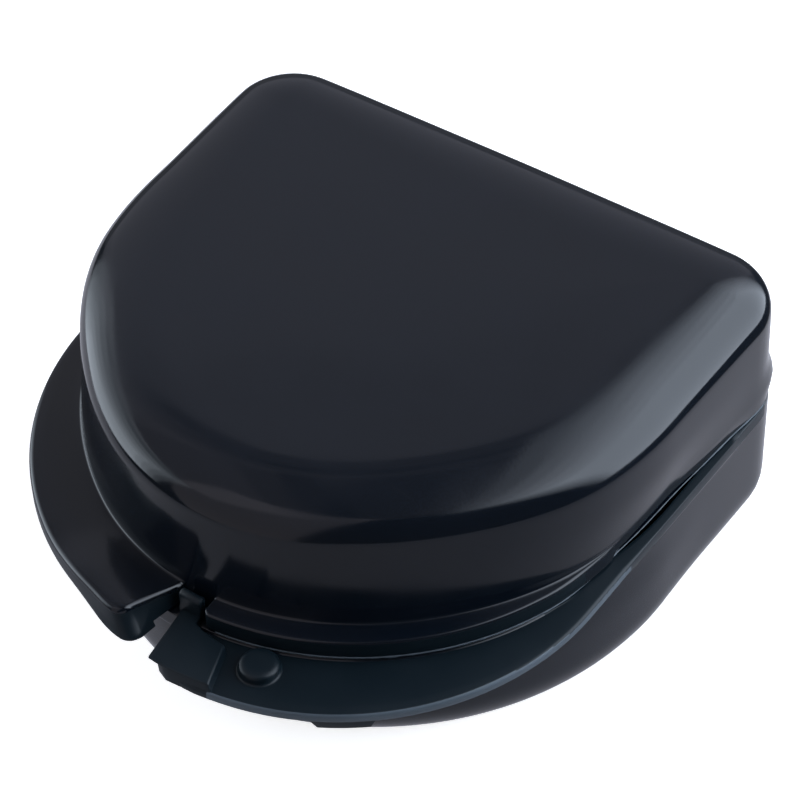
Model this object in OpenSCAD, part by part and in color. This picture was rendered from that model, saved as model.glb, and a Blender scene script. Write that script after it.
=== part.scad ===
// Mouthguard case: two D-shaped shells hinged at the back, each with half of a finger flange at the front.
// X runs across the case, the hinge is at +Y, the rounded nose at -Y, and the case rests on the plane z = 0.

/* [Shells] */
// Width of each shell across its rear corners
body_w = 76; // [66:1:90]
// Depth of each shell from the back wall to the nose
body_d = 68.5; // [60:0.5:84]
// Height of the base shell, from the face it rests on up to its mouth
base_h = 19.7; // [14:0.1:26]
// Height of the lid shell, from its mouth up to its flat top
lid_h = 18.1; // [14:0.1:26]
// Thickness of the walls, the floor and the roof
wall_t = 1.8; // [1.2:0.1:2.6]
// Radius of the rear corners, seen from above
corner_r = 8.5; // [8:0.5:12]
// Radius of the rounding between walls and roof
edge_r = 6.2; // [4:0.1:7]
// Radius of the nose, seen from above
nose_r = 34; // [30:0.5:36]
// Lean of the moulded walls, from the mouth to the start of the rounding
lean = 0.2; // [0.1:0.05:0.4]
// Gap between the mouths of the closed shells
mouth_gap = 0.3; // [0.3:0.05:0.5]

/* [Rim] */
// Reach of the rim beyond the nose of the shell
rim_reach = 2.4; // [1.5:0.1:3]
// Height of the rim above the mouth
rim_h = 2.45; // [1.8:0.05:3.5]
// Radius of the rim's nose, seen from above
rim_nose_r = 36; // [33:0.5:37]

/* [Base flange] */
// Reach of the base flange beyond the nose of the shell
base_reach = 10; // [8:0.5:12]
// Radius of the base flange at the nose, seen from above
base_flange_r = 42; // [39:0.5:44]
// Step from the base's mouth down to its flange
flange_drop = 0.25; // [0.2:0.05:0.6]
// Radius of the flange's free corner, seen from above
base_corner_r = 1.2; // [0.6:0.1:2]

/* [Lid flange] */
// Reach of the lid flange beyond the nose of the shell
lid_reach = 7.7; // [6:0.1:9]
// Radius of the lid flange at the nose, seen from above
lid_flange_r = 38; // [36:0.5:40]
// Thickness of the skirt round the lid flange
skirt_t = 1.2; // [0.8:0.1:1.8]
// Distance from the middle of the case to the end of the lid flange
lid_flange_end = 1.4; // [1:0.1:2.5]
// Radius of the lid flange's free corner, seen from above
lid_corner_r = 2.2; // [1:0.1:3]

/* [Finger pads] */
// Thickness of the flange plates
flange_t = 1.3; // [1:0.1:1.8]
// Width of the thick pad at the inner end of each flange
pad_w = 7.6; // [5:0.1:9]
// Rise of the base's pad above its flange
base_pad_h = 1.2; // [0.8:0.1:1.6]
// Drop of the lid's pad below the lid's mouth
lid_pad_h = 1; // [0.5:0.1:1.4]
// Clearance between a pad or the latch tongue and the rim of the other shell
pad_clear = 0.5; // [0.4:0.05:0.8]

/* [Latch] */
// Width of the latch tongue
tongue_w = 3; // [2:0.1:4]
// Thickness of the latch tongue
tongue_t = 1.2; // [0.8:0.1:1.6]
// Height of the latch tongue above the base's mouth
tongue_h = 3.4; // [2.6:0.1:4.5]
// Side gap between the tongue and the notch in the lid's rim
notch_clear = 0.6; // [0.4:0.05:1]

/* [Stud and lug] */
// Diameter of the stud on the base flange
stud_d = 4.7; // [3:0.1:6]
// Height of the stud above the flange
stud_h = 1.3; // [0.6:0.1:2]
// Distance from the middle of the case to the stud
stud_x = 11.5; // [10:0.1:16]
// Gap between the stud and the rim
stud_gap = 1; // [0.6:0.1:1.5]
// Distance from the middle of the case to the near end of the lug
lug_x = 19.5; // [16:0.5:24]
// Length of the lug under the edge of the base flange
lug_w = 7; // [4:0.5:10]
// Thickness of the lug, front to back
lug_t = 1.6; // [1:0.1:2.5]
// Drop of the lug below the flange
lug_h = 1.1; // [0.6:0.1:1.6]

/* [Hinges] */
// Distance between the middles of the two hinges
hinge_span = 34; // [26:1:38]
// Radius of the knuckles
knuckle_r = 2.4; // [2:0.1:3]
// Length of each knuckle
knuckle_w = 4.6; // [3:0.1:6]
// Side gap between neighbouring knuckles
knuckle_gap = 0.3; // [0.3:0.05:0.6]
// Gap between a knuckle and the back wall of the other shell
knuckle_clear = 0.4; // [0.35:0.05:0.8]
// Height of the web that joins a knuckle to its wall
web_h = 5; // [4:0.5:8]
// Diameter of the hinge pins
pin_d = 2; // [1.5:0.1:2.4]
// Radial play between a pin and the lid's knuckle
pin_play = 0.05; // [0.03:0.01:0.08]
// Radial play between a pin and the base's knuckles
pin_seat = 0.02; // [0.01:0.01:0.03]

/* [Hidden] */
$fn = 128;
plastic = "#151b22";
steel = "#9a9da1";

back_y = body_d / 2;
nose_y = -body_d / 2;
// Cuts and hidden joints run this far past the surfaces they meet
over = 1;

// Hinge axis, and the length of pin in one hinge of three knuckles
hinge_y = back_y + knuckle_r + knuckle_clear;
hinge_z = base_h + mouth_gap / 2;
pitch = knuckle_w + knuckle_gap;
pin_len = 3 * knuckle_w + 2 * knuckle_gap;

// Width of the swept band that holds the wall and its rounding, which stops short of the corners' centres
band = (corner_r + edge_r + lean) / 2;

// The notch in the lid's rim lies between the end of the lid flange and the start of the rim
tongue_x = -lid_flange_end + notch_clear + tongue_w / 2;
notch_end = tongue_x + tongue_w / 2 + notch_clear;
tongue_y = nose_y - pad_clear - tongue_t / 2;

// Direction from the side arc's centre, and from the nose arc's, to the point where the two arcs meet
meet = [0.6, -0.8];

// Outline of a shell, rim or flange: straight back, round corners, parallel sides, then a side arc and a
// nose arc that meet smoothly. Returns the side centre, the side radius, the nose centre and nose radius.
function outline(tip_y, tip_r) =
    let (side_r = (body_w / 2 - meet[0] * tip_r) / (1 - meet[0]),
         rise = -meet[1] * (side_r - tip_r))
    [[body_w / 2 - side_r, tip_y + tip_r + rise], side_r, [0, tip_y + tip_r], tip_r];

shell_line = outline(nose_y, nose_r);
rim_line = outline(nose_y - rim_reach, rim_nose_r);
base_flange_line = outline(nose_y - base_reach, base_flange_r);
lid_flange_line = outline(nose_y - lid_reach, lid_flange_r);
corner_c = [body_w / 2 - corner_r, back_y - corner_r];

// Slice of a disc between two directions
module slice(centre, r, from, to) {
    intersection() {
        translate(centre) circle(r);
        translate(centre) polygon([[0, 0], 2 * r * from, 2 * r * (from + to), 2 * r * to]);
    }
}

// Area inside an outline that is drawn in by inset all round. Its middle parts run into their neighbours.
module plan(line, inset = 0) {
    side = line[0];
    nose = line[2];
    r = line[3] - inset;
    lap = corner_r;
    translate([-corner_c[0], side[1] - lap]) square([2 * corner_c[0], back_y - inset - side[1] + lap]);
    translate([inset - body_w / 2, side[1]]) square([body_w - 2 * inset, corner_c[1] - side[1]]);
    intersection() {
        translate(nose) circle(r);
        translate(nose) polygon([[0, side[1] - nose[1] + lap], r * meet, 2 * r * meet, 2 * r * [-meet[0], meet[1]],
                                 r * [-meet[0], meet[1]]]);
    }
    for (flip = [0, 1]) {
        mirror([flip, 0]) {
            slice(corner_c, corner_r - inset, [1, 0], [0, 1]);
            slice(side, line[1] - inset, [1, 0], meet);
        }
    }
}

// Section of a shell's wall and rounding, seen along the wall, drawn in by inset and starting at height foot
module wall_section(h, inset, foot) {
    edge_c = [-edge_r - lean, h - edge_r];
    polygon([[-band, foot], [-inset, foot], [-inset, 0], [-inset - lean, edge_c[1]], [-band, edge_c[1]]]);
    translate([-band, edge_c[1]]) square([band + edge_c[0], edge_r - inset]);
    slice(edge_c, edge_r - inset, [1, 0], [0, 1]);
}

// Carries the wall's section along the part of a circle that lies between two directions
module wall_arc(centre, r, start, span, from, to, h, inset, foot) {
    translate([centre[0], centre[1], 0]) intersection() {
        rotate(start) rotate_extrude(angle = span) translate([r, 0]) wall_section(h, inset, foot);
        translate([0, 0, -h]) linear_extrude(3 * h) polygon([[0, 0], 2 * r * from, 2 * r * (from + to), 2 * r * to]);
    }
}

// Solid dome of height h with its mouth at z = 0 and its flat roof up, drawn in by inset
module dome(h, inset, foot) {
    side = shell_line[0];
    for (flip = [0, 1]) {
        mirror([flip, 0, 0]) {
            translate(corner_c) rotate_extrude(angle = 90) translate([corner_r, 0]) wall_section(h, inset, foot);
            translate([body_w / 2, corner_c[1], 0]) rotate([90, 0, 0]) linear_extrude(corner_c[1] - side[1])
                wall_section(h, inset, foot);
            wall_arc(side, shell_line[1], -90, 90, [1, 0], meet, h, inset, foot);
        }
    }
    wall_arc(shell_line[2], nose_r, 180, 180, [-meet[0], meet[1]], meet, h, inset, foot);
    translate([-corner_c[0], back_y, 0]) rotate([90, 0, 90]) linear_extrude(2 * corner_c[0])
        wall_section(h, inset, foot);
    translate([0, 0, foot]) linear_extrude(h - inset - foot) plan(shell_line, edge_r + lean);
}

// Everything in front of the line where the shell's curve starts, on one side or both
module front_area(left, right) {
    translate([left, -2 * body_d]) square([right - left, 2 * body_d + shell_line[0][1]]);
}

// Low rim round the front of a shell
module rim() {
    linear_extrude(rim_h) intersection() {
        plan(rim_line);
        front_area(-body_w, body_w);
    }
}

// Takes the sharp corner off a flange's free end, which lies at x = edge with the flange on its left
module corner_cut(edge, tip_y, r) {
    difference() {
        translate([edge - r, tip_y - over]) square([r + over, r + over]);
        translate([edge - r, tip_y + r]) circle(r);
    }
}

// Area of the lid's finger flange
module lid_flange_area(inset = 0) {
    difference() {
        intersection() {
            plan(lid_flange_line, inset);
            front_area(-body_w, -lid_flange_end - inset);
        }
        corner_cut(-lid_flange_end - inset, nose_y - lid_reach + inset, lid_corner_r);
    }
}

// Area of the base's finger flange, which runs back to the rear corner
module base_flange_area() {
    difference() {
        intersection() {
            plan(base_flange_line);
            translate([0, -2 * body_d]) square([body_w, 2 * body_d + corner_c[1]]);
        }
        mirror([1, 0]) corner_cut(0, nose_y - base_reach, base_corner_r);
    }
}

// Part of a flange that lies clear of the other shell's rim
module clear_of_rim() {
    difference() {
        children();
        plan(rim_line, -pad_clear);
    }
}

// Knuckle round the hinge axis with the web that joins it to the back wall, for a shell with its roof up
module knuckle(x) {
    translate([x - knuckle_w / 2, hinge_y, -mouth_gap / 2]) rotate([0, 90, 0]) cylinder(r = knuckle_r, h = knuckle_w);
    translate([x + knuckle_w / 2, 0, 0]) rotate([90, 0, -90]) linear_extrude(knuckle_w)
        polygon([[-back_y + wall_t / 2, 0], [-hinge_y, 0], [-hinge_y, knuckle_r - mouth_gap / 2],
                 [-back_y + wall_t / 2, web_h]]);
}

// Bore for a pin through both hinges
module pin_bore(play) {
    translate([-body_w / 2, hinge_y, -mouth_gap / 2]) rotate([0, 90, 0]) cylinder(r = pin_d / 2 + play, h = body_w);
}

// One moulded shell with its roof up, without its flange
module shell(h, knuckle_places) {
    dome(h, 0, 0);
    for (hinge = [-1, 1]) {
        for (place = knuckle_places) {
            knuckle(hinge * hinge_span / 2 + place * pitch);
        }
    }
}

module hollow(h) {
    dome(h, wall_t, -over);
}

module lid_flange() {
    difference() {
        linear_extrude(rim_h) lid_flange_area();
        translate([0, 0, -over]) linear_extrude(rim_h - flange_t + over) difference() {
            lid_flange_area(skirt_t);
            plan(rim_line);
        }
    }
    // Thick pad under the inner end, for the finger
    translate([0, 0, -lid_pad_h]) linear_extrude(rim_h + lid_pad_h) clear_of_rim() intersection() {
        lid_flange_area();
        translate([-lid_flange_end - pad_w, -2 * body_d]) square([pad_w, 2 * body_d]);
    }
}

module lid_shell() {
    color(plastic) translate([0, 0, base_h + mouth_gap]) difference() {
        union() {
            shell(lid_h, [0]);
            lid_flange();
            difference() {
                rim();
                translate([-lid_flange_end, -2 * body_d, -over]) cube([lid_flange_end + notch_end, 2 * body_d,
                                                                      rim_h + 2 * over]);
            }
        }
        hollow(lid_h);
        pin_bore(pin_play);
    }
}

module base_flange() {
    translate([0, 0, -flange_drop - flange_t]) linear_extrude(flange_t) base_flange_area();
    // Raised pad at the inner end, for the finger
    translate([0, 0, -flange_drop - flange_t]) linear_extrude(flange_t + base_pad_h) clear_of_rim() intersection() {
        base_flange_area();
        translate([0, -2 * body_d]) square([pad_w, 2 * body_d]);
    }
    // Stud
    translate([stud_x, stud_y, -flange_drop - flange_t]) cylinder(d = stud_d, h = flange_t + stud_h);
    // Lug under the outer edge
    translate([0, 0, -flange_drop - flange_t - lug_h]) linear_extrude(flange_t + lug_h) intersection() {
        difference() {
            plan(base_flange_line);
            plan(base_flange_line, lug_t);
        }
        translate([lug_x, -2 * body_d]) square([lug_w, 2 * body_d]);
    }
}

// The stud stands in front of the rim, whose edge is found on the rim's nose circle
rim_edge_y = rim_line[2][1] - sqrt(rim_nose_r * rim_nose_r - stud_x * stud_x);
stud_y = rim_edge_y - stud_gap - stud_d / 2;

// Tongue that stands up through the notch in the lid's rim, with a foot that runs back from the pad
module tongue() {
    foot_h = base_pad_h - flange_drop;
    translate([tongue_x - tongue_w / 2, nose_y - rim_reach - 2 * pad_clear, -rim_h])
        cube([tongue_w, rim_reach + pad_clear, rim_h + foot_h]);
    translate([tongue_x - tongue_w / 2, tongue_y - tongue_t / 2, -rim_h])
        cube([tongue_w, tongue_t, rim_h + tongue_h - tongue_t / 2]);
    translate([tongue_x - tongue_w / 2, tongue_y, tongue_h - tongue_t / 2]) rotate([0, 90, 0])
        cylinder(d = tongue_t, h = tongue_w);
}

module base_shell() {
    color(plastic) translate([0, 0, base_h]) {
        difference() {
            union() {
                rotate([0, 180, 0]) {
                    shell(base_h, [-1, 1]);
                    rim();
                }
                base_flange();
                tongue();
            }
            rotate([0, 180, 0]) hollow(base_h);
            rotate([0, 180, 0]) pin_bore(pin_seat);
        }
    }
}

module hinge_pin(side) {
    color(steel) translate([side * hinge_span / 2 - pin_len / 2, hinge_y, hinge_z]) rotate([0, 90, 0])
        cylinder(d = pin_d, h = pin_len);
}

module hinge_pin_left() {
    hinge_pin(-1);
}

module hinge_pin_right() {
    hinge_pin(1);
}

base_shell();
lid_shell();
hinge_pin_left();
hinge_pin_right();
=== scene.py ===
"""A moulded mouthguard case: two D-shaped shells on two small hinges, closed, as photographed."""
import math
import bmesh
import bpy
import numpy as np
from mathutils import Matrix, Vector, noise


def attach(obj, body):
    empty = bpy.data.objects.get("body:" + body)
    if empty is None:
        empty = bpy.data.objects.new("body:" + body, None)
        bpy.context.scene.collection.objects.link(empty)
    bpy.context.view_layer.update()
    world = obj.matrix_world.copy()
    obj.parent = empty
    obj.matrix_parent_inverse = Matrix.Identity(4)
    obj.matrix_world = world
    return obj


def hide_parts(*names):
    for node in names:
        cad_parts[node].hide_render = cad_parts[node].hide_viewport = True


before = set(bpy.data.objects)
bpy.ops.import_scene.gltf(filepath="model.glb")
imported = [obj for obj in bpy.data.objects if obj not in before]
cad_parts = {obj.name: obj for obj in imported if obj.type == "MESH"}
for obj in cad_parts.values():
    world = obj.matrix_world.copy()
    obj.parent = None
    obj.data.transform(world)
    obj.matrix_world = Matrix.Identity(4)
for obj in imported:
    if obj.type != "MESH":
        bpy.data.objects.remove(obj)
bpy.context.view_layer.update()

MM = 0.001

# Sizes in millimetres, the same as the solids'
BASE_H = 19.7
MOUTH_GAP = 0.3
LID_H = 18.1
LID_Z = BASE_H + MOUTH_GAP
TOP_Z = LID_Z + LID_H
PARTING_Z = BASE_H + MOUTH_GAP / 2
HALF_W = 38.0
BACK_Y = 34.25
NOSE_Y = -34.25
WALL = 1.8
HINGE_Y = 37.05
HINGE_SPAN = 34.0
KNUCKLE_R = 2.39
KNUCKLE_W = 4.6
KNUCKLE_PITCH = 4.9
PIN_R = 1.0
PIN_LEN = 14.4

# No section reaches further out than this
WIDEST_X = 37.97
# The lid's shoulder bends tightly at the wall and ever more gently towards the roof
SHOULDER_R = 3.8
ROOF_R = 30.0
TIGHT_TURN = 50
# Width and height of the rounding at the base's foot
BASE_ROUND = (6.5, 7.2)
# Lean of the lid's wall all round, and what the front adds to it
LID_DRAFT = math.tan(math.radians(0.7))
FRONT_DRAFT = math.tan(math.radians(5.3))
ROOF_CROWN = 0.1
ROOF_CENTRE = np.array([0.0, -1.0])
MOUTH_EDGE_R = 0.2

# The ledge that runs round the front of both mouths, and the wall left plain above its fillet
LEDGE_H = 2.45
FILLET_R = 0.35
ABOVE_LEDGE = 0.5
# The lid's flange ends and its rim starts here, with the latch's notch between them
FLANGE_END_X = -1.4
RIM_START_X = 2.8
# Free ends are rounded only ahead of this line, and elsewhere the end counts as far away
FRONT_Y = -20
FAR = 99.0
SKIRT_T = 1.2
PLATE_T = 1.3
FLANGE_DROP = 0.25


# ---------------------------------------- outlines seen from above

class Outline:
    """Right half of a D: nose arc, side arc, straight side, rear corner and back, measured along s."""

    def __init__(self, corner_r, taper, side_r, nose_r, nose_y, half_w=HALF_W, back_y=BACK_Y):
        lean = math.radians(taper)
        out = np.array([math.cos(lean), -math.sin(lean)])
        corner = np.array([half_w - corner_r, back_y - corner_r])
        side_end = corner + corner_r * out
        nose = np.array([0.0, nose_y + nose_r])
        down = np.array([-math.sin(lean), -math.cos(lean)])
        foot = (out @ side_end - side_r) * out
        gap = foot - nose
        along = gap @ down
        root = along ** 2 - (gap @ gap - (nose_r - side_r) ** 2)
        sign = 1 if side_r < nose_r else -1
        centre = foot + (-along + sign * math.sqrt(max(root, 0))) * down
        meet = (centre - nose) * sign
        meet /= np.linalg.norm(meet)
        meet_angle = math.atan2(meet[1], meet[0])
        side_angle = math.atan2(out[1], out[0])
        side_start = centre + side_r * out
        self.nose_r = nose_r
        self.runs = [
            ("arc", nose, nose_r, -math.pi / 2, meet_angle),
            ("arc", centre, side_r, meet_angle, side_angle),
            ("line", side_start, side_end),
            ("arc", corner, corner_r, side_angle, math.pi / 2),
            ("line", np.array([corner[0], back_y]), np.array([0.0, back_y])),
        ]
        self.lengths = [abs(r[4] - r[3]) * r[2] if r[0] == "arc" else np.linalg.norm(r[2] - r[1])
                        for r in self.runs]
        self.half = sum(self.lengths)

    def at(self, s):
        """Point and outward direction at s; negative s runs round the left side."""
        left = math.copysign(1.0, s)
        s = min(abs(s), self.half)
        for run, length in zip(self.runs, self.lengths):
            if s <= length or run is self.runs[-1]:
                share = min(s / length, 1.0)
                if run[0] == "arc":
                    _, centre, r, a, b = run
                    t = a + (b - a) * share
                    out = np.array([math.cos(t), math.sin(t)])
                    point = centre + r * out
                else:
                    _, a, b = run
                    point = a + (b - a) * share
                    step = (b - a) / np.linalg.norm(b - a)
                    out = np.array([step[1], -step[0]])
                return point * [left, 1], out * [left, 1]
            s -= length

    def s_at_x(self, x):
        """The place on the nose arc where the outline crosses x."""
        return self.nose_r * math.asin(x / self.nose_r)

    def line(self):
        """The right half as points about 0.4 mm apart."""
        count = int(self.half / 0.4)
        return np.array([self.at(s)[0] for s in np.linspace(0, self.half, count)])


def reach(point, out, line):
    """How far along out from point the outline lies, for a point on either side of the middle. It is looked
    for up to 4 mm inwards and 14 mm outwards."""
    slack = 0.02
    p = np.array([abs(point[0]), point[1]])
    d = np.array([math.copysign(1.0, point[0]) * out[0], out[1]])
    a = line[:-1] - p
    e = line[1:] - line[:-1]
    det = d[0] * e[:, 1] - d[1] * e[:, 0]
    det = np.where(abs(det) < 1e-9, 1e-9, det)
    t = (a[:, 0] * e[:, 1] - a[:, 1] * e[:, 0]) / det
    u = (a[:, 0] * d[1] - a[:, 1] * d[0]) / det
    hits = t[(u >= -slack) & (u <= 1 + slack) & (t > -4) & (t < 14)]
    return float(hits[np.argmin(abs(hits))]) if len(hits) else 0.0


dome_line = Outline(corner_r=8.6, taper=0.45, side_r=43.5, nose_r=32.3, nose_y=NOSE_Y, half_w=37.96)
base_dome_line = Outline(corner_r=7.7, taper=0.46, side_r=41.3, nose_r=26.4, nose_y=-34.14, half_w=37.93)
rim_edge = Outline(corner_r=8.5, taper=1.5, side_r=51.6, nose_r=36.0, nose_y=-36.65).line()
base_flange_edge = Outline(corner_r=8.1, taper=0.5, side_r=33.7, nose_r=55.5, nose_y=-44.2,
                           half_w=37.95).line()
lid_flange_edge = Outline(corner_r=8.5, taper=1.5, side_r=65.0, nose_r=37.2, nose_y=-42.0,
                          half_w=37.95).line()


def ramp(value, start, end):
    """Eases from 0 at start to 1 at end. End may be the smaller of the two."""
    t = min(max((value - start) / (end - start), 0.0), 1.0)
    return t * t * (3 - 2 * t)


def hump(value, middle, spread):
    """A bell curve of height 1."""
    return math.exp(-((value - middle) / spread) ** 2)


def at_side(point):
    """0 on the case's middle line and 1 on its sides."""
    return ramp(abs(point[0]), 0, 30)


def side_bow(point):
    """How far the middle of a moulded side has sunk in: more on the left."""
    depth = 0.2 if point[0] > 0 else 0.4
    return depth * hump(point[1], 6, 13) * at_side(point)


def lid_foot(point, h):
    """How far the lid's side pulls in at height h over its mouth: gently over its lower half, and curled in the
    last millimetres."""
    y = point[1]
    pulled = 0.85 * hump(y, 5, 12) + 0.2 * ramp(y, -10, 10) * ramp(y, 29, 20)
    curled = 0.34 * ramp(y, -18, -6) * ramp(y, 29, 19) * max(1 - h / 2.6, 0) ** 2
    return (pulled * ramp(h, 10, 0) + curled) * at_side(point)


def corner_lip(out, h):
    """At the rear corners the lid's mouth flares into a small lip, widest 2.6 mm over the mouth."""
    if out[1] <= 0:
        return 0.0
    rise = ramp(h, 6.0, 2.6) if h > 2.6 else 1 - 0.55 * ramp(h, 2.6, 0)
    return 0.8 * (2 * out[0] * out[1]) ** 2 * rise


def back_bulge(point):
    """The long back wall bulges a little between its corners."""
    half = 29.5
    return 0.42 * (1 - (point[0] / half) ** 2) if point[1] > 30 and abs(point[0]) < half else 0.0


def corner_share(point):
    """1 at the rear corners, where the shoulder is narrower, and 0 away from them."""
    return ramp(math.hypot(abs(point[0]) - 35.0, point[1] - 31.0), 27.6, 3.6)


def wall_lean(out):
    """How far the lid's wall leans in for each millimetre of height: most round the front."""
    return LID_DRAFT + FRONT_DRAFT * ramp(-out[1], 0.25, 0.75)


def end_slant(place, z):
    """Shift to the left: the free end of the lid's flange runs back at a slant, and its face leans."""
    x, y = place
    ahead = -34.4 - y
    if x > FLANGE_END_X + 0.01 or ahead <= 0:
        return 0.0
    lean = 0.13 + 0.3 * ramp(z, 19.0, 22.4)
    return -lean * min(ahead, 6.0) * ramp(x, FLANGE_END_X - 9, FLANGE_END_X)


def sink(x, y, seed):
    """How far a moulded face has sunk in unevenly while it cooled, in hollows about 23 mm apart."""
    return 0.03 + 0.03 * noise.noise(Vector((x / 23, y / 23, seed)))


def rim_reach(point, out, foot):
    """Offset of the lid's rim, which runs out into the foot of the wall along the sides."""
    return foot + max(reach(point, out, rim_edge) - foot, 0) * ramp(point[1], -1, -13)


# ---------------------------------------- mesh helpers

def placed(name, data):
    """Puts a new object into the scene."""
    obj = bpy.data.objects.new(name, data)
    bpy.context.scene.collection.objects.link(obj)
    return obj


def finish_mesh(bm, name):
    """Closes seams, turns faces outwards, marks the sharp edges and makes the object."""
    bmesh.ops.remove_doubles(bm, verts=bm.verts, dist=0.002 * MM)
    bmesh.ops.dissolve_degenerate(bm, dist=1e-7, edges=bm.edges)
    bmesh.ops.recalc_face_normals(bm, faces=bm.faces)
    mesh = bpy.data.meshes.new(name)
    bm.to_mesh(mesh)
    bm.free()
    mesh.shade_smooth()
    mesh.set_sharp_from_angle(angle=math.radians(38))
    return placed(name, mesh)


def join_rings(bm, rings):
    """Makes the faces between each ring of points and the next. A ring of one point is a pole."""
    for a, b in zip(rings, rings[1:]):
        steps = max(len(a), len(b))
        for i in range(steps):
            j = (i + 1) % steps
            if len(a) == 1:
                bm.faces.new((a[0], b[i], b[j]))
            elif len(b) == 1:
                bm.faces.new((a[i], a[j], b[0]))
            else:
                bm.faces.new((a[i], a[j], b[j], b[i]))


def stations(outline, marks):
    """Places along an outline, closer together next to the marks, where a ledge ends."""
    spacing, clear, least = 1.1, 3.4, 0.012
    near = [0.02, 0.05, 0.12, 0.22, 0.36, 0.52, 0.72, 0.95, 1.18, 1.22, 1.45, 1.75, 2.1, 2.5, 3.0]
    places = list(np.linspace(-outline.half, outline.half, int(2 * outline.half / spacing)))[:-1]
    for mark in marks:
        places = [s for s in places if abs(s - mark) > clear]
        places += [mark - d for d in near] + [mark + d for d in near] + [mark]
    places.sort()
    kept = [places[0]]
    for s in places[1:]:
        if s - kept[-1] > least or s in marks:
            kept.append(s)
    return kept


def squared(point, out):
    """The direction of a section. Between the two ledges' free ends, and fading over 8 mm beyond, it is square
    to the front, so that the ends are flat."""
    share = max(0.0, 1 - max(FLANGE_END_X - point[0], point[0] - RIM_START_X, 0.0) / 8)
    if point[1] >= 0 or share == 0:
        return out
    out = out * (1 - share) + np.array([0.0, -1.0]) * share
    return out / np.linalg.norm(out)


def close_roof(bm, rings, end, roof_side, crown, seed):
    """Fills the space between one end of all sections with rings that shrink towards the roof's centre.
    roof_side is 1 for a roof and -1 for a floor. It is crowned over its outer 16 mm, and sunk in over 12."""
    edge_z = rings[0]["places"][end][2]
    rise = roof_side * crown
    count = len(rings)
    filled = [i for i in range(count) if rings[i]["side"] != -1]
    centre_z = edge_z + rise - roof_side * sink(*ROOF_CENTRE, seed)
    centre = bm.verts.new((ROOF_CENTRE[0] * MM, ROOF_CENTRE[1] * MM, centre_z * MM))
    last = [ring["verts"][end] for ring in rings]
    for share in (0.95, 0.88, 0.8, 0.7, 0.6, 0.5, 0.4, 0.3, 0.2, 0.1):
        here = []
        for ring in rings:
            arm = np.array(ring["places"][end][:2]) - ROOF_CENTRE
            x, y = ROOF_CENTRE + arm * share
            inside = np.linalg.norm(arm) * (1 - share)
            z = edge_z + rise * ramp(inside, 0, 16) - roof_side * sink(x, y, seed) * ramp(inside, 0, 12)
            here.append(bm.verts.new((x * MM, y * MM, z * MM)))
        for i in filled:
            j = (i + 1) % count
            bm.faces.new((last[i], last[j], here[j], here[i]))
        last = here
    for i in filled:
        bm.faces.new((last[i], last[(i + 1) % count], centre))


def shell_mesh(name, outline, marks, profile, roof_side, crown, seed):
    """A closed shell. profile gives, for a place and the side of a mark that it is on, the section's
    (offset, height) points from the roof's edge to the inner roof's edge, and the two ends of its ledge."""
    bm = bmesh.new()
    rings = []
    for s in stations(outline, marks):
        for side in ((-1, 1) if s in marks else (0,)):
            point, out = outline.at(s)
            out = squared(point, out)
            section, ledge = profile(s, side, point, out)
            places = []
            for offset, z in section:
                x, y = point + offset * out
                places.append((min(max(x + end_slant((x, y), z), -WIDEST_X), WIDEST_X), y, z))
            verts = [bm.verts.new((x * MM, y * MM, z * MM)) for x, y, z in places]
            rings.append({"side": side, "verts": verts, "places": places, "ledge": ledge})
    for ring, after in zip(rings, rings[1:] + rings[:1]):
        here, there = ring["verts"], after["verts"]
        if ring["side"] == -1:
            first, last = ring["ledge"]
            bm.faces.new(here[first:last + 1] + there[last - 1:first:-1])
        else:
            for p, q, r, t in zip(here, here[1:], there[1:], there):
                bm.faces.new((p, q, r, t))
    for end in (0, -1):
        close_roof(bm, rings, end, roof_side, crown, seed + end)
    return finish_mesh(bm, name)


def arc_points(o, z, rw, rh, start, end, steps):
    """Points on an ellipse's arc between two angles in degrees."""
    return [(o + rw * math.cos(math.radians(t)), z + rh * math.sin(math.radians(t)))
            for t in np.linspace(start, end, steps)]


def shoulder_points():
    """Offsets and heights of the lid's shoulder, from the roof's edge down to the wall's top, measured from
    there. Its radius grows with the turn, so its points are summed up along it."""
    degrees = np.linspace(0, 90, 181)
    turn = np.radians(degrees)
    gentle = np.clip((degrees - TIGHT_TURN) / (90 - TIGHT_TURN), 0, 1)
    bend = SHOULDER_R + (ROOF_R - SHOULDER_R) * gentle ** 2

    def summed(slope):
        return np.concatenate([[0], np.cumsum(slope[:-1] + slope[1:]) * (turn[1] - turn[0]) / 2])

    inward, upward = summed(bend * np.sin(turn)), summed(bend * np.cos(turn))
    # Counted in half degrees, closer together where the shoulder is widest
    keep = [180, 177, 174, 171, 168, 165, 161, 157, 152, 146, 140, 132, 122, 110, *range(98, -1, -14)]
    return [(-inward[k], upward[k]) for k in keep]


def fallen(r, past):
    """How far a rounding of radius r has fallen away at a distance past its start."""
    return r - math.sqrt(max(r ** 2 - max(past, 0) ** 2, 0))


def inner_wall(wall, mouth, round_at, edge_o, width, height):
    """The inner face of a wall, from the mouth's edge to the roof. Its rounding is the outer one less WALL."""
    foot, r = wall(mouth) - WALL, MOUTH_EDGE_R
    inner = [(foot + r, mouth), (foot + 0.3 * r, mouth + 0.3 * r), (foot, mouth + r)]
    inner += [(wall(z) - WALL, z) for z in np.linspace(mouth + r, round_at, 7)[1:]]
    return inner + arc_points(edge_o, round_at, width - WALL, height - WALL, 0, 90, 12)[1:]


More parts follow.
